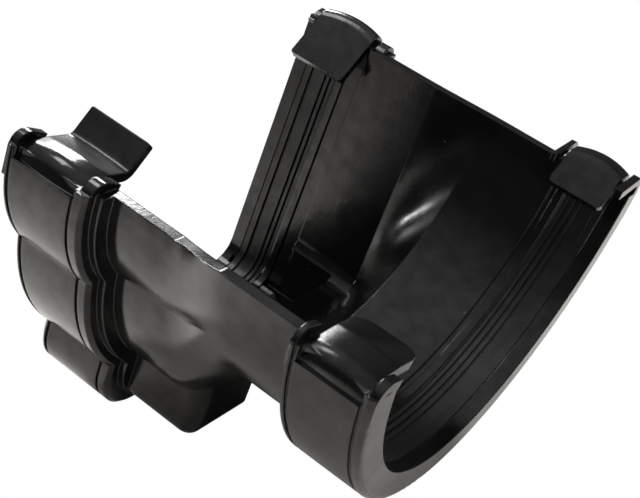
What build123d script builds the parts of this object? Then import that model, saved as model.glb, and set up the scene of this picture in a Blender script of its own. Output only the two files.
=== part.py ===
"""Gutter adaptor that joins an ogee gutter to a half-round gutter.

Sizes are in millimetres. X runs along the gutter, from the ogee mouth to the half-round mouth.
Y runs from the front of the gutter to the wall behind it, and Z is up. The origin is the centre
of the half-round mouth, so the whole adaptor lies at negative X.
"""

import os
from math import hypot, sqrt

from build123d import *

os.makedirs("parts", exist_ok=True)

# Lengths along the gutter
ogee_skin_length = 24.5
ogee_ledge_length = 2.0
ogee_pocket_depth = 21.7
ogee_run_length = 44.0
transition_length = 17.0
trough_length = 41.0
ease_reach = 3.0
ease_steps = 6
half_round_skin_length = 20.0
half_round_pocket_depth = 18.4

# Walls, and the steps from the outside of the plain run to the other surfaces
wall = 3.0
ogee_skin_step = 6.6
ogee_ledge_step = 3.5
ogee_pocket_step = 1.8
mouth_edge_radius = 1.6
step_edge_radius = 1.0

# Ogee section, measured on the outside of the plain run
back_face_y = 57.8
foot_depth = 14.3
foot_drop = 5.85
sole_back_radius = 9.0
toe_y = -19.3
toe_radius = 3.0
skin_toe_radius = 13.0
upper_bulge_centre = (-19.9, -21.3)
upper_bulge_radius = 27.8
middle_bulge_centre = (5.5, -37.1)
middle_bulge_radius = 44.35

# Half-round section
half_round_pocket_radius = 56.5
half_round_trough_step = 2.3
half_round_socket_wall = 7.5

# Rims of the walls
back_rim_z = -1.8
ogee_front_rim_z = -18.9
half_round_front_rim_z = -12.5

# Foot of the ogee box, with an end that steps up to the trough
foot_nose_length = 4.0
foot_side_y = 4.0
foot_back_setback = 4.0
foot_back_y = 20.0
foot_corner_radius = 4.0
foot_overlap = 5.0

# Fine grooves round both sockets, and the slots between clip and ear that continue them
groove_width = 0.9
groove_depth = 0.7
mouth_groove_setback = 2.5
ogee_inner_groove_setback = 3.5
half_round_inner_groove_setback = 1.8

# Rubber seals, the seats that hold them, and the bead of the pocket behind each seal
seal_seat_depth = 3.1
seal_seat_width = 10.2
seal_setback = 4.0
seal_clearance = 0.1
seal_end_drop = 5.0
seal_lip_width = 2.0
rib_count = 3
rib_width = 0.9
rib_gap = 0.8
rib_height = 0.7
bead_setback = 0.6
bead_width = 2.2
bead_height = 0.6

# Snap clips and ears. Each line is followed by the middle of a bent sheet, and its points are
# measured from the outer top corner of the wall that the sheet stands on.
clip_thickness = 2.3
ear_thickness = 2.2
clip_crown = 1.2
ogee_front_clip = ((1.3, -5.0), (3.0, 1.0), (8.8, 0.8), (17.9, -1.4), (23.2, 5.4))
ogee_back_clip = ((-1.15, -10.2), (-1.15, 2.6), (-5.6, 2.5), (-10.1, -2.2), (-17.1, -9.4))
half_round_front_clip = ((3.8, -4.8), (3.5, 0.4), (13.6, 0.3), (24.2, -2.3))
half_round_back_clip = ((-3.2, -8.2), (-3.2, 4.5), (-11.0, 4.7), (-18.2, -3.2))
ogee_front_ear = ((2.3, -8.1), (2.3, 2.4), (10.3, -0.3))
ogee_back_ear = ((-1.2, -10.2), (-1.2, 2.2), (-8.4, -2.2))
half_round_front_ear = ((4.0, -6.0), (1.9, 2.5), (9.6, 0.5))
half_round_back_ear = ((-3.0, -8.2), (-3.0, 4.0), (-18.0, 3.0))
ogee_front_bend_radius = 3.0
half_round_front_bend_radius = 2.6
back_bend_radius = 3.0
ogee_flap_corner_radius = 0.6
half_round_front_flap_corner_radius = 4.4
half_round_back_flap_corner_radius = 1.6
ogee_ledge_drop = 2.3
half_round_ledge_drop = 3.2

# Places that follow from the sizes above
ogee_mouth_x = -ogee_run_length - transition_length - trough_length
sole_z = middle_bulge_centre[1] - middle_bulge_radius - foot_drop
foot_top_z = sole_z + foot_depth
ogee_skin_end_x = ogee_mouth_x + ogee_skin_length
ogee_run_end_x = ogee_mouth_x + ogee_run_length
trough_start_x = -trough_length
half_round_skin_start_x = -half_round_skin_length
ogee_front_y = upper_bulge_centre[0] - upper_bulge_radius
trough_radius = half_round_pocket_radius + half_round_trough_step
half_round_skin_radius = half_round_pocket_radius + half_round_socket_wall
ease_start_x = ogee_run_end_x - ease_reach
ease_end_x = trough_start_x + ease_reach
foot_end_x = ogee_run_end_x + foot_nose_length
foot_back_x = ogee_run_end_x - foot_back_setback
ogee_groove_xs = (ogee_mouth_x + mouth_groove_setback, ogee_skin_end_x - ogee_inner_groove_setback)
half_round_groove_xs = (
    half_round_skin_start_x + half_round_inner_groove_setback,
    -mouth_groove_setback,
)
ogee_front_corner = (ogee_front_y - ogee_skin_step, ogee_front_rim_z)
ogee_back_corner = (back_face_y + ogee_skin_step, back_rim_z)
half_round_front_corner = (-half_round_skin_radius, half_round_front_rim_z)
half_round_back_corner = (half_round_skin_radius, back_rim_z)
section_top = 30.0
cut_reach = 200.0


def section_plane(x):
    """Plane across the gutter at x, with Y to its right and Z up."""
    return Plane.YZ.offset(x)


def bulge_crease(growth):
    """Point where the upper and middle bulges meet, with both grown by the same amount."""
    first_y, first_z = upper_bulge_centre
    second_y, second_z = middle_bulge_centre
    first_radius = upper_bulge_radius + growth
    second_radius = middle_bulge_radius + growth
    gap = hypot(second_y - first_y, second_z - first_z)
    along = (first_radius**2 - second_radius**2 + gap**2) / (2 * gap)
    across = sqrt(first_radius**2 - along**2)
    unit_y = (second_y - first_y) / gap
    unit_z = (second_z - first_z) / gap
    return (first_y + along * unit_y + across * unit_z, first_z + along * unit_z - across * unit_y)


def toe_crease(growth):
    """Point where the middle bulge meets the upright face of the foot."""
    toe = toe_y - growth
    reach = toe - middle_bulge_centre[0]
    drop = sqrt((middle_bulge_radius + growth) ** 2 - reach**2)
    return (toe, middle_bulge_centre[1] - drop)


def plain_crease(growth):
    """Point where the middle bulge meets the level bottom of the plain run."""
    base = foot_top_z - growth
    drop = middle_bulge_centre[1] - base
    reach = sqrt((middle_bulge_radius + growth) ** 2 - drop**2)
    return (middle_bulge_centre[0] - reach, base)


def ogee_corners(growth, whole):
    """Corners of the ogee section from the top of the back round to the top of the front."""
    base = sole_z if whole else foot_top_z
    back = back_face_y + growth
    front = ogee_front_y - growth
    turn = sole_back_radius + growth
    return [
        (back, section_top),
        (back, base - growth + turn),
        (back - turn, base - growth),
        toe_crease(growth) if whole else plain_crease(growth),
        bulge_crease(growth),
        (front, upper_bulge_centre[1]),
        (front, section_top),
    ]


def ogee_face(x, growth, whole=True):
    """Filled ogee section at x, grown outward. With whole false it leaves out the foot."""
    points = ogee_corners(growth, whole)
    sole_front = (toe_y - growth, sole_z - growth)
    with BuildSketch(section_plane(x), mode=Mode.PRIVATE) as section:
        with BuildLine():
            Line(points[0], points[1])
            RadiusArc(points[1], points[2], sole_back_radius + growth)
            if whole:
                Line(points[2], sole_front)
                Line(sole_front, points[3])
            else:
                Line(points[2], points[3])
            RadiusArc(points[3], points[4], middle_bulge_radius + growth)
            RadiusArc(points[4], points[5], upper_bulge_radius + growth)
            Line(points[5], points[6])
            Line(points[6], points[0])
        make_face()
        if whole:
            turn_radius = toe_radius if growth < ogee_ledge_step else skin_toe_radius
            sole_ends = section.vertices().sort_by(Axis.Y)[0:2]
            fillet(sole_ends.sort_by(Axis.X)[0], turn_radius)
    return section.sketch


def half_round_face(x, radius):
    """Filled half-round section at x, with upright sides above its centre."""
    with BuildSketch(section_plane(x), mode=Mode.PRIVATE) as section:
        with BuildLine():
            Line((radius, section_top), (radius, 0.0))
            ThreePointArc((radius, 0.0), (0.0, -radius), (-radius, 0.0))
            Line((-radius, 0.0), (-radius, section_top))
            Line((-radius, section_top), (radius, section_top))
        make_face()
    return section.sketch


def straight_faces(growth):
    """Sections at both ends of the transition, grown outward."""
    return [
        ogee_face(ogee_run_end_x, growth, whole=False).face(),
        half_round_face(trough_start_x, trough_radius + growth).face(),
    ]


def eased_faces(straight):
    """Sections of the straight transition, moved along the gutter so that its ends ease in."""
    faces = [ogee_face(ease_start_x, 0.0, whole=False).face()]
    for step in range(1, ease_steps):
        share = step / ease_steps
        cut_x = ogee_run_end_x + transition_length * share**2 * (3 - 2 * share)
        eased_x = ease_start_x + (ease_end_x - ease_start_x) * share
        cut = section(straight, section_by=section_plane(cut_x), mode=Mode.PRIVATE)
        faces.append(Pos(eased_x - cut_x, 0.0, 0.0) * cut.faces()[0])
    return faces + [half_round_face(ease_end_x, trough_radius).face()]


def foot_plan(z, growth):
    """Plan of the foot at height z, with the end that turns back toward the wall."""
    with BuildSketch(Plane.XY.offset(z), mode=Mode.PRIVATE) as plan:
        with BuildLine():
            Polyline(
                (ogee_mouth_x, toe_y),
                (foot_end_x, toe_y),
                (foot_end_x, foot_side_y),
                (foot_back_x, foot_back_y),
                (foot_back_x, back_face_y),
                (ogee_mouth_x, back_face_y),
                close=True,
            )
        make_face()
        fillet(plan.vertices().sort_by(Axis.Y)[0:2].sort_by(Axis.X)[-1], foot_corner_radius)
        if growth:
            offset(amount=growth, kind=Kind.INTERSECTION)
    return plan.sketch


def rim_cut_face(y):
    """Region above the front rim, drawn on the plane at y."""
    with BuildSketch(Plane.XZ.offset(-y), mode=Mode.PRIVATE) as region:
        with BuildLine():
            Polyline(
                (-cut_reach, ogee_front_rim_z),
                (ogee_run_end_x, ogee_front_rim_z),
                (trough_start_x, half_round_front_rim_z),
                (cut_reach, half_round_front_rim_z),
                (cut_reach, cut_reach),
                (-cut_reach, cut_reach),
                close=True,
            )
        make_face()
    return region.sketch


def sheet_line(corner, offsets):
    """Points of a sheet's line, moved to the corner of the wall that it stands on."""
    return [(corner[0] + offset_y, corner[1] + offset_z) for offset_y, offset_z in offsets]


def sheet_face(x, line, thickness, bend_radius):
    """Section of a bent sheet at x, whose middle follows the line."""
    with BuildSketch(section_plane(x), mode=Mode.PRIVATE) as section:
        with BuildLine():
            FilletPolyline(*line, radius=bend_radius)
        trace(line_width=thickness)
    return section.sketch


def clip_faces(x_from, x_to, line, bend_radius):
    """Sections of a clip from side to side, whose middle arches out and up past both sides."""
    inward = -clip_crown if line[0][0] > 0.0 else clip_crown
    leg, corner, crest, *flap = line
    lowered = [(y + inward, z - clip_crown) for y, z in (corner, crest)]
    side_line = [leg, *lowered, *flap]
    return [
        sheet_face(x_from, side_line, clip_thickness, bend_radius).face(),
        sheet_face((x_from + x_to) / 2, line, clip_thickness, bend_radius).face(),
        sheet_face(x_to, side_line, clip_thickness, bend_radius).face(),
    ]


def tip_edges(solid, x_from, x_to, line):
    """The two short edges at the corners of a clip's flap."""
    tip_y, tip_z = line[-1]
    short = solid.edges().filter_by(lambda edge: abs(edge.length - clip_thickness) < short_margin)
    corners = [Vector(x_from, tip_y, tip_z), Vector(x_to, tip_y, tip_z)]
    return [short.sort_by(lambda edge: (edge.center() - corner).length)[0] for corner in corners]


# Places of the grooves, clips, ears and seals
short_margin = 0.01
side_margin = 1.0
half_groove = groove_width / 2
ogee_clip_from = ogee_groove_xs[0] + half_groove
ogee_clip_to = ogee_groove_xs[1] - half_groove
half_round_clip_from = half_round_groove_xs[0] + half_groove
half_round_clip_to = half_round_groove_xs[1] - half_groove
ogee_seat_growth = seal_seat_depth - ogee_pocket_step
ogee_seat_x = ogee_mouth_x + seal_setback
half_round_seat_x = -seal_setback - seal_seat_width
half_round_seat_radius = half_round_pocket_radius + seal_seat_depth
seal_width = seal_seat_width - 2 * seal_clearance
ribbed_width = rib_count * (rib_width + rib_gap) - rib_gap
flat_width = seal_width - seal_lip_width - ribbed_width
ledge_align = (Align.MIN, Align.MAX, Align.MIN)

# Straight transition between the outsides of run and trough, which the eased one follows
with BuildPart() as straight_transition:
    loft(sections=straight_faces(0.0), ruled=True)

# Foot of the ogee box, and the hollow in it
with BuildPart() as foot:
    extrude(foot_plan(sole_z, 0.0), amount=foot_top_z - sole_z + foot_overlap)
    sole_edges = foot.edges().group_by(Axis.Z)[0]
    back_edges = sole_edges.filter_by(lambda edge: edge.center().Y > back_face_y - side_margin)
    fillet(back_edges, sole_back_radius)
    sole_edges = foot.edges().group_by(Axis.Z)[0]
    front_edges = sole_edges.filter_by(lambda edge: edge.center().Y < foot_back_y - side_margin)
    fillet(front_edges.filter_by(lambda edge: edge.center().X > ogee_mouth_x + side_margin), toe_radius)

with BuildPart() as foot_hollow:
    extrude(foot_plan(sole_z + wall, -wall), amount=foot_top_z - sole_z - wall + foot_overlap)

# Thicker skins round both sockets
with BuildPart() as ogee_skin:
    extrude(ogee_face(ogee_mouth_x, ogee_skin_step), amount=ogee_skin_length)
    outline = ogee_skin.edges().filter_by(lambda edge: edge.center().Z < back_rim_z)
    chamfer(outline.group_by(Axis.X)[0], mouth_edge_radius)
    chamfer(outline.group_by(Axis.X)[-1], step_edge_radius)

with BuildPart() as half_round_skin:
    extrude(half_round_face(half_round_skin_start_x, half_round_skin_radius), amount=half_round_skin_length)
    outline = half_round_skin.edges().filter_by(lambda edge: edge.center().Z < back_rim_z)
    fillet(outline.group_by(Axis.X)[-1], mouth_edge_radius)
    fillet(outline.group_by(Axis.X)[0], step_edge_radius)

# Fine grooves that bound the middle panel of each skin
with BuildPart() as grooves:
    for groove_x in ogee_groove_xs:
        extrude(ogee_face(groove_x - half_groove, ogee_skin_step + groove_depth), amount=groove_width)
        extrude(
            ogee_face(groove_x - half_groove, ogee_skin_step - groove_depth),
            amount=groove_width,
            mode=Mode.SUBTRACT,
        )
    for groove_x in half_round_groove_xs:
        extrude(
            half_round_face(groove_x - half_groove, half_round_skin_radius + groove_depth),
            amount=groove_width,
        )
        extrude(
            half_round_face(groove_x - half_groove, half_round_skin_radius - groove_depth),
            amount=groove_width,
            mode=Mode.SUBTRACT,
        )

# Everything above the rims
with BuildPart() as above_rims:
    extrude(rim_cut_face(0.0), amount=cut_reach)
    with Locations((0.0, 0.0, back_rim_z)):
        Box(2 * cut_reach, cut_reach, cut_reach, align=(Align.CENTER, Align.MIN, Align.MIN))

# Lines of the clips and ears
ogee_front_clip_line = sheet_line(ogee_front_corner, ogee_front_clip)
ogee_back_clip_line = sheet_line(ogee_back_corner, ogee_back_clip)
half_round_front_clip_line = sheet_line(half_round_front_corner, half_round_front_clip)
half_round_back_clip_line = sheet_line(half_round_back_corner, half_round_back_clip)
ogee_front_ear_line = sheet_line(ogee_front_corner, ogee_front_ear)
ogee_back_ear_line = sheet_line(ogee_back_corner, ogee_back_ear)
half_round_front_ear_line = sheet_line(half_round_front_corner, half_round_front_ear)
half_round_back_ear_line = sheet_line(half_round_back_corner, half_round_back_ear)

# Ledges in front of the clips' upright legs
with BuildPart() as ledges:
    ledge_y = ogee_front_clip_line[1][0] - clip_thickness / 2
    with Locations((ogee_clip_from, ledge_y, ogee_front_rim_z - ogee_ledge_drop)):
        Box(ogee_clip_to - ogee_clip_from, cut_reach, cut_reach, align=ledge_align)
    ledge_y = half_round_front_clip_line[1][0]
    ledge_z = half_round_front_rim_z - half_round_ledge_drop
    with Locations((half_round_clip_from, ledge_y, ledge_z)):
        Box(half_round_clip_to - half_round_clip_from, cut_reach, cut_reach, align=ledge_align)

# Snap clips over the rims
with BuildPart() as clips:
    for line, bend_radius in (
        (ogee_front_clip_line, ogee_front_bend_radius),
        (ogee_back_clip_line, back_bend_radius),
    ):
        loft(sections=clip_faces(ogee_clip_from, ogee_clip_to, line, bend_radius))
        fillet(tip_edges(clips, ogee_clip_from, ogee_clip_to, line), ogee_flap_corner_radius)
    for line, bend_radius, corner_radius in (
        (
            half_round_front_clip_line,
            half_round_front_bend_radius,
            half_round_front_flap_corner_radius,
        ),
        (half_round_back_clip_line, back_bend_radius, half_round_back_flap_corner_radius),
    ):
        loft(sections=clip_faces(half_round_clip_from, half_round_clip_to, line, bend_radius))
        fillet(tip_edges(clips, half_round_clip_from, half_round_clip_to, line), corner_radius)

# Narrow ears that stand beside each clip
with BuildPart() as ears:
    for line in (ogee_front_ear_line, ogee_back_ear_line):
        extrude(
            sheet_face(ogee_mouth_x, line, ear_thickness, half_round_front_bend_radius),
            amount=ogee_clip_from - groove_width - ogee_mouth_x,
        )
        extrude(
            sheet_face(
                ogee_clip_to + groove_width, line, ear_thickness, half_round_front_bend_radius
            ),
            amount=ogee_skin_end_x - ogee_clip_to - groove_width,
        )
    for line, bend_radius in (
        (half_round_front_ear_line, half_round_front_bend_radius),
        (half_round_back_ear_line, back_bend_radius),
    ):
        extrude(
            sheet_face(half_round_clip_to + groove_width, line, ear_thickness, bend_radius),
            amount=-half_round_clip_to - groove_width,
        )
        extrude(
            sheet_face(half_round_skin_start_x, line, ear_thickness, bend_radius),
            amount=half_round_clip_from - groove_width - half_round_skin_start_x,
        )

# Rounded beads round the pockets, behind the seals
with BuildPart() as ogee_bead:
    bead_x = ogee_seat_x + seal_seat_width + bead_setback
    extrude(ogee_face(bead_x, ogee_pocket_step), amount=bead_width)
    extrude(
        ogee_face(bead_x, -ogee_pocket_step - bead_height),
        amount=bead_width,
        mode=Mode.SUBTRACT,
    )

with BuildPart() as half_round_bead:
    bead_x = half_round_seat_x - bead_setback - bead_width
    extrude(half_round_face(bead_x, half_round_pocket_radius + bead_height), amount=bead_width)
    extrude(
        half_round_face(bead_x, half_round_pocket_radius - bead_height),
        amount=bead_width,
        mode=Mode.SUBTRACT,
    )

# One moulding: run, transition, trough and sockets, with the clips and ears on their rims
with BuildPart() as adaptor_body:
    extrude(ogee_face(ogee_mouth_x, 0.0, whole=False), amount=ease_start_x - ogee_mouth_x)
    loft(sections=eased_faces(straight_transition.part))
    extrude(half_round_face(ease_end_x, trough_radius), amount=-ease_end_x)
    add(foot.part)
    add(ogee_skin.part)
    extrude(ogee_face(ogee_skin_end_x, ogee_ledge_step), amount=ogee_ledge_length)
    add(half_round_skin.part)
    extrude(
        ogee_face(ogee_mouth_x, -wall, whole=False),
        amount=ogee_run_length,
        mode=Mode.SUBTRACT,
    )
    loft(sections=straight_faces(-wall), ruled=True, mode=Mode.SUBTRACT)
    extrude(
        half_round_face(trough_start_x, trough_radius - wall),
        amount=trough_length,
        mode=Mode.SUBTRACT,
    )
    add(foot_hollow.part, mode=Mode.SUBTRACT)
    extrude(
        ogee_face(ogee_mouth_x, -ogee_pocket_step),
        amount=ogee_pocket_depth,
        mode=Mode.SUBTRACT,
    )
    extrude(
        half_round_face(-half_round_pocket_depth, half_round_pocket_radius),
        amount=half_round_pocket_depth,
        mode=Mode.SUBTRACT,
    )
    extrude(
        ogee_face(ogee_seat_x, ogee_seat_growth),
        amount=seal_seat_width,
        mode=Mode.SUBTRACT,
    )
    extrude(
        half_round_face(half_round_seat_x, half_round_seat_radius),
        amount=seal_seat_width,
        mode=Mode.SUBTRACT,
    )
    add(ogee_bead.part)
    add(half_round_bead.part)
    add(grooves.part, mode=Mode.SUBTRACT)
    add(above_rims.part, mode=Mode.SUBTRACT)
    add(ledges.part, mode=Mode.SUBTRACT)
    add(clips.part)
    add(ears.part)

# Rubber seals, each with a lip at the mouth, a flat, and ribs behind it
with BuildPart() as ogee_seal:
    seal_x = ogee_seat_x + seal_clearance
    hollow_growth = -ogee_pocket_step + seal_clearance
    extrude(ogee_face(seal_x, ogee_seat_growth - seal_clearance), amount=seal_width)
    extrude(ogee_face(seal_x, hollow_growth), amount=seal_width, mode=Mode.SUBTRACT)
    extrude(
        ogee_face(seal_x + seal_lip_width, hollow_growth + rib_height),
        amount=flat_width,
        mode=Mode.SUBTRACT,
    )
    for index in range(1, rib_count):
        gap_x = seal_x + seal_lip_width + flat_width + index * (rib_width + rib_gap) - rib_gap
        extrude(ogee_face(gap_x, hollow_growth + rib_height), amount=rib_gap, mode=Mode.SUBTRACT)
    with Locations((0.0, 0.0, -seal_end_drop)):
        add(above_rims.part, mode=Mode.SUBTRACT)

with BuildPart() as half_round_seal:
    seal_x = half_round_seat_x + seal_clearance
    hollow_radius = half_round_pocket_radius + seal_clearance
    extrude(half_round_face(seal_x, half_round_seat_radius - seal_clearance), amount=seal_width)
    extrude(half_round_face(seal_x, hollow_radius), amount=seal_width, mode=Mode.SUBTRACT)
    extrude(
        half_round_face(seal_x + ribbed_width, hollow_radius + rib_height),
        amount=flat_width,
        mode=Mode.SUBTRACT,
    )
    for index in range(1, rib_count):
        gap_x = seal_x + index * (rib_width + rib_gap) - rib_gap
        extrude(
            half_round_face(gap_x, hollow_radius + rib_height), amount=rib_gap, mode=Mode.SUBTRACT
        )
    with Locations((0.0, 0.0, -seal_end_drop)):
        add(above_rims.part, mode=Mode.SUBTRACT)

adaptor_body.part.label = "adaptor_body"
ogee_seal.part.label = "ogee_seal"
half_round_seal.part.label = "half_round_seal"

export_step(adaptor_body.part, "parts/adaptor_body.step")
export_step(ogee_seal.part, "parts/ogee_seal.step")
export_step(half_round_seal.part, "parts/half_round_seal.step")
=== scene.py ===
"""Studio picture of a black gutter adaptor that joins an ogee gutter to a half-round gutter.

The adaptor keeps its own frame: X along the gutter, Y from front to back, Z up, in metres. As in
the photograph it lies tipped on a pale floor, so the floor and the lamps are set out from the
direction that is up for the floor, not from Z.
"""

import logging
import math
from dataclasses import dataclass
from enum import Enum

import bpy
from mathutils import Matrix, Vector


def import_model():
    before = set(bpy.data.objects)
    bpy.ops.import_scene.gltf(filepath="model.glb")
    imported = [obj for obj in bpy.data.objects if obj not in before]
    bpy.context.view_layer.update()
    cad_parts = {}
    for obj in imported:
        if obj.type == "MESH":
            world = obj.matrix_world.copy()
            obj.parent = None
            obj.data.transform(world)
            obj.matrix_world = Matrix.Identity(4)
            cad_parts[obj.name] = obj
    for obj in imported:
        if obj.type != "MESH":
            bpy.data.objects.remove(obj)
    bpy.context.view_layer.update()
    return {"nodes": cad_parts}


LOG = logging.getLogger("gutter_adaptor")
IMAGE_WIDTH = 640.0
IMAGE_HEIGHT = 498.0
LAMP_TARGET = (-0.05, 0.0, -0.03)
SPECULAR_LEVEL = 0.65
MOTTLE_DETAIL = 3.0
PATCH_SCALE = 45.0
PATCH_DETAIL = 4.0
PATCH_RANGE = (0.42, 0.62)
BLOTCH_SCALE = 240.0
BLOTCH_DETAIL = 6.0
BLOTCH_RANGE = (0.35, 0.65)
SPECK_RADIUS = 0.05
SPECK_RARITY = 0.88
DUST_COLOUR = (0.5, 0.5, 0.5, 1.0)
WHITE = (1.0, 1.0, 1.0, 1.0)
BEVEL_SAMPLES = 6
COLOUR_MIX_FIRST = 6
COLOUR_MIX_SECOND = 7
COLOUR_MIX_RESULT = 2
NEAR_CLIP = 0.01


class Ray(Enum):
    """Kinds of ray that the floor and the room tell apart."""

    CAMERA = "Is Camera Ray"


@dataclass(frozen=True)
class Plastic:
    """Finish of one moulded piece.

    Attributes:
        slot: Material slot of the record.
        colour: Base colour, linear.
        roughness: Smoothest roughness.
        roughness_spread: How much rougher the worn and mottled places are.
        mottle_scale: Size of the mottling, in cells per metre.
        mottle_height: Height of the mottling, in metres.
        blotch_depth: How much less the blotches mirror.
        speck_scale: Spacing of the dust specks, in cells per metre.
        speck_amount: How much of a speck's pale colour shows.
        edge_radius: Radius that the edges are rounded to in shading, in metres.
    """

    slot: str
    colour: tuple[float, float, float]
    roughness: float
    roughness_spread: float
    mottle_scale: float
    mottle_height: float
    blotch_depth: float
    speck_scale: float
    speck_amount: float
    edge_radius: float


@dataclass(frozen=True)
class Lamp:
    """A soft box that faces the adaptor.

    Attributes:
        name: Name of the lamp.
        towards: Direction from the adaptor to the lamp.
        distance: Distance from the adaptor, in metres.
        width: Width of the box, in metres.
        height: Height of the box, in metres.
        radiance: Brightness of the box's face.
        mirrored: Whether the plastic mirrors the box, or only its light on the floor shows.
    """

    name: str
    towards: tuple[float, float, float]
    distance: float
    width: float
    height: float
    radiance: float
    mirrored: bool


@dataclass(frozen=True)
class Viewpoint:
    """Camera that matches the photograph.

    Attributes:
        location: Place of the camera, in metres.
        azimuth: Turn round Z from a view along +Y, in degrees.
        elevation: Height above the horizontal, in degrees.
        roll: Turn about the line of sight, in degrees.
        focal: Focal length, in pixels.
        centre: Pixel that the line of sight passes through.
    """

    location: tuple[float, float, float]
    azimuth: float
    elevation: float
    roll: float
    focal: float
    centre: tuple[float, float]


@dataclass(frozen=True)
class Studio:
    """Floor and backdrop.

    Attributes:
        up: Direction that is up for the floor.
        floor_size: Side of the floor, in metres.
        floor_colour: Share of light that the floor gives back, by colour.
        room_low: Brightness of the room near the level of the floor.
        room_high: Brightness of the room overhead.
        low_share: Sine of the height up to which the room stays dim.
        high_share: Sine of the height from which the room is at its brightest.
    """

    up: tuple[float, float, float]
    floor_size: float
    floor_colour: tuple[float, float, float]
    room_low: float
    room_high: float
    low_share: float
    high_share: float


BODY_PLASTIC = Plastic(
    slot="body_plastic",
    colour=(0.0035, 0.0032, 0.0032),
    roughness=0.14,
    roughness_spread=0.1,
    mottle_scale=900.0,
    mottle_height=0.00002,
    blotch_depth=0.2,
    speck_scale=260.0,
    speck_amount=0.25,
    edge_radius=0.0005,
)
SEAL_RUBBER = Plastic(
    slot="seal_rubber",
    colour=(0.006, 0.006, 0.0062),
    roughness=0.32,
    roughness_spread=0.12,
    mottle_scale=1400.0,
    mottle_height=0.00001,
    blotch_depth=0.15,
    speck_scale=300.0,
    speck_amount=0.1,
    edge_radius=0.0002,
)
LAMPS = (
    Lamp("key_box", (-0.7, 0.61, 0.37), 0.8, 0.36, 0.18, 26.0, True),
    Lamp("top_box", (-0.52, 0.06, 0.85), 0.8, 0.26, 0.18, 7.0, True),
    Lamp("left_strip", (-0.97, -0.1, -0.12), 0.9, 0.06, 0.2, 20.0, True),
    Lamp("side_box", (0.6, 0.45, 0.65), 0.8, 0.4, 0.4, 7.0, False),
    Lamp("floor_fill", (-0.6, -0.7, 0.25), 0.24, 0.12, 0.12, 5.0, False),
)
VIEWPOINT = Viewpoint(
    location=(0.0508, -0.2264, 0.106),
    azimuth=24.12,
    elevation=29.62,
    roll=21.5,
    focal=1185.7,
    centre=(306.4, 259.9),
)
STUDIO = Studio(
    up=(-0.363, 0.0, 0.932),
    floor_size=6.0,
    floor_colour=(0.87, 0.84, 0.8),
    room_low=0.07,
    room_high=0.55,
    low_share=0.5,
    high_share=0.97,
)


class NodeTree:
    """Adds shader nodes to a tree by short calls."""

    def __init__(self, tree: bpy.types.NodeTree) -> None:
        """Keeps the tree.

        Args:
            tree: Node tree to add to.
        """
        self.tree = tree

    def add(self, kind: str, **inputs: object) -> bpy.types.Node:
        """Adds a node and sets or links its inputs.

        Args:
            kind: Type of the node.
            **inputs: Values or sockets by input name, with spaces written as underscores.

        Returns:
            The new node.
        """
        node = self.tree.nodes.new(kind)
        for name, value in inputs.items():
            self.put(node, name.replace("_", " "), value)
        return node

    def put(self, node: bpy.types.Node, name: str | int, value: object) -> None:
        """Sets an input, or links a socket to it.

        Args:
            node: Node whose input it is.
            name: Name or index of the input.
            value: Value or output socket.
        """
        socket = node.inputs[name]
        if isinstance(value, bpy.types.NodeSocket):
            self.tree.links.new(value, socket)
        else:
            socket.default_value = value

    def math(self, operation: str, first: object, second: object = 0.0) -> bpy.types.NodeSocket:
        """Adds a calculation with two values.

        Args:
            operation: Name of the operation.
            first: First value or socket.
            second: Second value or socket.

        Returns:
            The result's socket.
        """
        node = self.tree.nodes.new("ShaderNodeMath")
        node.operation = operation
        self.put(node, 0, first)
        self.put(node, 1, second)
        return node.outputs[0]

    def noise(self, place: object, scale: object, detail: float) -> bpy.types.NodeSocket:
        """Adds a noise texture.

        Args:
            place: Coordinates.
            scale: Cells per metre.
            detail: How many finer layers it has.

        Returns:
            The noise's value.
        """
        node = self.add("ShaderNodeTexNoise", Vector=place, Scale=scale, Detail=detail)
        return node.outputs[0]

    def mask(self, value: object, span: tuple[float, float]) -> bpy.types.NodeSocket:
        """Stretches a part of a value's range to a mask.

        Args:
            value: Value or socket.
            span: Values that become 0 and 1.

        Returns:
            The mask.
        """
        node = self.add("ShaderNodeMapRange", Value=value, From_Min=span[0], From_Max=span[1])
        return node.outputs[0]


def mould_surface_group() -> bpy.types.NodeTree:
    """Makes the node group for moulded plastic's small irregularities.

    Returns:
        Group that turns object coordinates into mottle, blotch and speck masks and a height.
    """
    group = bpy.data.node_groups.new("mould_surface", "ShaderNodeTree")
    sockets = (
        ("Vector", "INPUT", "NodeSocketVector"),
        ("Mottle Scale", "INPUT", "NodeSocketFloat"),
        ("Speck Scale", "INPUT", "NodeSocketFloat"),
        ("Mottle", "OUTPUT", "NodeSocketFloat"),
        ("Blotch", "OUTPUT", "NodeSocketFloat"),
        ("Speck", "OUTPUT", "NodeSocketFloat"),
        ("Height", "OUTPUT", "NodeSocketFloat"),
    )
    for name, way, kind in sockets:
        group.interface.new_socket(name=name, in_out=way, socket_type=kind)
    tree = NodeTree(group)
    inlet = group.nodes.new("NodeGroupInput").outputs
    outlet = group.nodes.new("NodeGroupOutput")
    place = inlet["Vector"]
    fine = tree.noise(place, inlet["Mottle Scale"], MOTTLE_DETAIL)
    patch = tree.mask(tree.noise(place, PATCH_SCALE, PATCH_DETAIL), PATCH_RANGE)
    blotch = tree.mask(tree.noise(place, BLOTCH_SCALE, BLOTCH_DETAIL), BLOTCH_RANGE)
    cells = tree.add("ShaderNodeTexVoronoi", Vector=place, Scale=inlet["Speck Scale"])
    dot = tree.math("LESS_THAN", cells.outputs["Distance"], SPECK_RADIUS)
    chosen = tree.add("ShaderNodeSeparateColor", Color=cells.outputs["Color"])
    rare = tree.math("GREATER_THAN", chosen.outputs[0], SPECK_RARITY)
    tree.put(outlet, "Mottle", patch)
    tree.put(outlet, "Blotch", blotch)
    tree.put(outlet, "Speck", tree.math("MULTIPLY", dot, rare))
    tree.put(outlet, "Height", fine)
    return group


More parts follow.
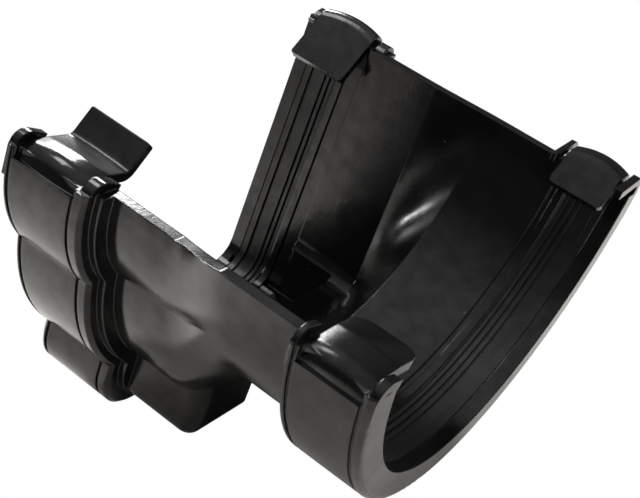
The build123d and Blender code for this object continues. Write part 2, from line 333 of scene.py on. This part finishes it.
class PlasticMaterial:
    """Material for one moulded piece."""

    def __init__(self, finish: Plastic, surface: bpy.types.NodeTree) -> None:
        """Builds the material.

        Args:
            finish: What the piece looks like.
            surface: Group that gives the small irregularities.
        """
        self.material = bpy.data.materials.new(finish.slot)
        self.material.use_nodes = True
        tree = NodeTree(self.material.node_tree)
        shader = self.material.node_tree.nodes["Principled BSDF"]
        place = tree.add("ShaderNodeTexCoord").outputs["Object"]
        detail = tree.add("ShaderNodeGroup")
        detail.node_tree = surface
        tree.put(detail, "Vector", place)
        tree.put(detail, "Mottle Scale", finish.mottle_scale)
        tree.put(detail, "Speck Scale", finish.speck_scale)
        rough = tree.math("MULTIPLY", detail.outputs["Mottle"], finish.roughness_spread)
        tree.put(shader, "Roughness", tree.math("ADD", rough, finish.roughness))
        dull = tree.math("MULTIPLY", detail.outputs["Blotch"], finish.blotch_depth)
        tree.put(shader, "Specular IOR Level", tree.math("SUBTRACT", SPECULAR_LEVEL, dull))
        colour = tree.add("ShaderNodeMix")
        colour.data_type = "RGBA"
        dust = tree.math("MULTIPLY", detail.outputs["Speck"], finish.speck_amount)
        tree.put(colour, "Factor", dust)
        tree.put(colour, COLOUR_MIX_FIRST, (*finish.colour, 1.0))
        tree.put(colour, COLOUR_MIX_SECOND, DUST_COLOUR)
        tree.put(shader, "Base Color", colour.outputs[COLOUR_MIX_RESULT])
        rounded = tree.add("ShaderNodeBevel", Radius=finish.edge_radius)
        rounded.samples = BEVEL_SAMPLES
        bump = tree.add(
            "ShaderNodeBump",
            Strength=1.0,
            Distance=finish.mottle_height,
            Height=detail.outputs["Height"],
            Normal=rounded.outputs[0],
        )
        tree.put(shader, "Normal", bump.outputs[0])

    def paint(self, piece: bpy.types.Object) -> None:
        """Gives the material to a piece.

        Args:
            piece: Object that takes it.
        """
        piece.data.materials.clear()
        piece.data.materials.append(self.material)


class Adaptor:
    """The adaptor's pieces, with their materials."""

    def __init__(self, nodes: dict[str, bpy.types.Object]) -> None:
        """Keeps the CAD nodes.

        Args:
            nodes: CAD objects by node name.
        """
        self.nodes = nodes

    def paint(self) -> None:
        """Gives each piece its material."""
        surface = mould_surface_group()
        body = PlasticMaterial(BODY_PLASTIC, surface)
        rubber = PlasticMaterial(SEAL_RUBBER, surface)
        for name, node in self.nodes.items():
            (rubber if name.endswith("seal") else body).paint(node)

    def lowest(self, up: Vector) -> float:
        """Finds how low the adaptor reaches along a direction.

        Args:
            up: Direction that is up.

        Returns:
            The least distance along it, in metres.
        """
        return min(up.dot(v.co) for node in self.nodes.values() for v in node.data.vertices)


class StudioSet:
    """Floor, room light and lamps."""

    def __init__(self, studio: Studio, floor_level: float) -> None:
        """Keeps the studio's measures.

        Args:
            studio: Floor and backdrop.
            floor_level: Distance of the floor from the origin along its up direction, in metres.
        """
        self.studio = studio
        self.up = Vector(studio.up).normalized()
        self.floor_level = floor_level

    def add_floor(self) -> None:
        """Adds a pale floor, which the camera sees through to the room's plain white."""
        half = self.studio.floor_size / 2
        mesh = bpy.data.meshes.new("floor")
        corners = [(-half, -half, 0.0), (half, -half, 0.0), (half, half, 0.0), (-half, half, 0.0)]
        mesh.from_pydata(corners, [], [(0, 1, 2, 3)])
        floor = bpy.data.objects.new("floor", mesh)
        bpy.context.scene.collection.objects.link(floor)
        turn = self.up.to_track_quat("Z", "Y").to_matrix().to_4x4()
        floor.matrix_world = Matrix.Translation(self.up * self.floor_level) @ turn
        mesh.materials.append(self.floor_material())

    def floor_material(self) -> bpy.types.Material:
        """Makes the floor's material.

        Returns:
            Matt white that takes the adaptor's shadow, and that is clear to the camera.
        """
        material = bpy.data.materials.new("floor_white")
        material.use_nodes = True
        material.node_tree.nodes.clear()
        tree = NodeTree(material.node_tree)
        rays = tree.add("ShaderNodeLightPath").outputs
        clear = tree.add("ShaderNodeBsdfTransparent")
        matt = tree.add("ShaderNodeBsdfDiffuse", Color=(*self.studio.floor_colour, 1.0))
        mix = tree.add("ShaderNodeMixShader", Fac=rays[Ray.CAMERA.value])
        tree.put(mix, 1, matt.outputs[0])
        tree.put(mix, 2, clear.outputs[0])
        out = tree.add("ShaderNodeOutputMaterial")
        tree.put(out, "Surface", mix.outputs[0])
        return material

    def add_room(self) -> None:
        """Adds the room's light: white to the camera and dim to the plastic."""
        world = bpy.data.worlds.new("room")
        bpy.context.scene.world = world
        world.use_nodes = True
        world.node_tree.nodes.clear()
        tree = NodeTree(world.node_tree)
        rays = tree.add("ShaderNodeLightPath").outputs
        upward = tree.add("ShaderNodeVectorMath")
        upward.operation = "DOT_PRODUCT"
        tree.put(upward, 0, tree.add("ShaderNodeTexCoord").outputs["Generated"])
        tree.put(upward, 1, self.up)
        room = tree.add(
            "ShaderNodeMapRange",
            Value=upward.outputs["Value"],
            From_Min=self.studio.low_share,
            From_Max=self.studio.high_share,
            To_Min=self.studio.room_low,
            To_Max=self.studio.room_high,
        )
        strength = tree.math("MAXIMUM", rays[Ray.CAMERA.value], room.outputs[0])
        light = tree.add("ShaderNodeBackground", Color=WHITE, Strength=strength)
        out = tree.add("ShaderNodeOutputWorld")
        tree.put(out, "Surface", light.outputs[0])

    def add_lamp(self, lamp: Lamp) -> None:
        """Adds a soft box that faces the adaptor.

        Args:
            lamp: Size, place and brightness of the box.
        """
        data = bpy.data.lights.new(lamp.name, "AREA")
        data.shape = "RECTANGLE"
        data.size = lamp.width
        data.size_y = lamp.height
        data.energy = lamp.radiance * math.pi * lamp.width * lamp.height
        box = bpy.data.objects.new(lamp.name, data)
        bpy.context.scene.collection.objects.link(box)
        towards = Vector(lamp.towards).normalized()
        across = self.up.cross(towards).normalized()
        turn = Matrix((across, towards.cross(across), towards)).transposed().to_4x4()
        place = Vector(LAMP_TARGET) + towards * lamp.distance
        box.matrix_world = Matrix.Translation(place) @ turn
        box.visible_glossy = lamp.mirrored


def add_camera(viewpoint: Viewpoint) -> None:
    """Adds the camera that matches the photograph.

    Args:
        viewpoint: Place, turn and lens.
    """
    azimuth = math.radians(viewpoint.azimuth)
    elevation = math.radians(viewpoint.elevation)
    roll = math.radians(viewpoint.roll)
    level = Vector((math.cos(azimuth), math.sin(azimuth), 0.0))
    forward = Vector(
        (
            -math.sin(azimuth) * math.cos(elevation),
            math.cos(azimuth) * math.cos(elevation),
            -math.sin(elevation),
        )
    )
    right = level * math.cos(roll) - forward.cross(level) * math.sin(roll)
    down = forward.cross(right)
    data = bpy.data.cameras.new("camera")
    data.sensor_fit = "HORIZONTAL"
    data.lens = viewpoint.focal / IMAGE_WIDTH * data.sensor_width
    data.shift_x = (IMAGE_WIDTH / 2 - viewpoint.centre[0]) / IMAGE_WIDTH
    data.shift_y = (viewpoint.centre[1] - IMAGE_HEIGHT / 2) / IMAGE_WIDTH
    data.clip_start = NEAR_CLIP
    camera = bpy.data.objects.new("camera", data)
    bpy.context.scene.collection.objects.link(camera)
    turn = Matrix((right, -down, -forward)).transposed().to_4x4()
    camera.matrix_world = Matrix.Translation(Vector(viewpoint.location)) @ turn
    bpy.context.scene.camera = camera


def main() -> None:
    """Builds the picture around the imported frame."""
    logging.basicConfig(level=logging.INFO)
    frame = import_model()
    adaptor = Adaptor(frame["nodes"])
    adaptor.paint()
    level = adaptor.lowest(Vector(STUDIO.up).normalized())
    studio = StudioSet(STUDIO, level)
    studio.add_floor()
    studio.add_room()
    for lamp in LAMPS:
        studio.add_lamp(lamp)
    add_camera(VIEWPOINT)
    bpy.context.scene.view_settings.view_transform = "Standard"
    LOG.info("pieces: %s", sorted(frame["nodes"]))


if __name__ == "__main__":
    main()
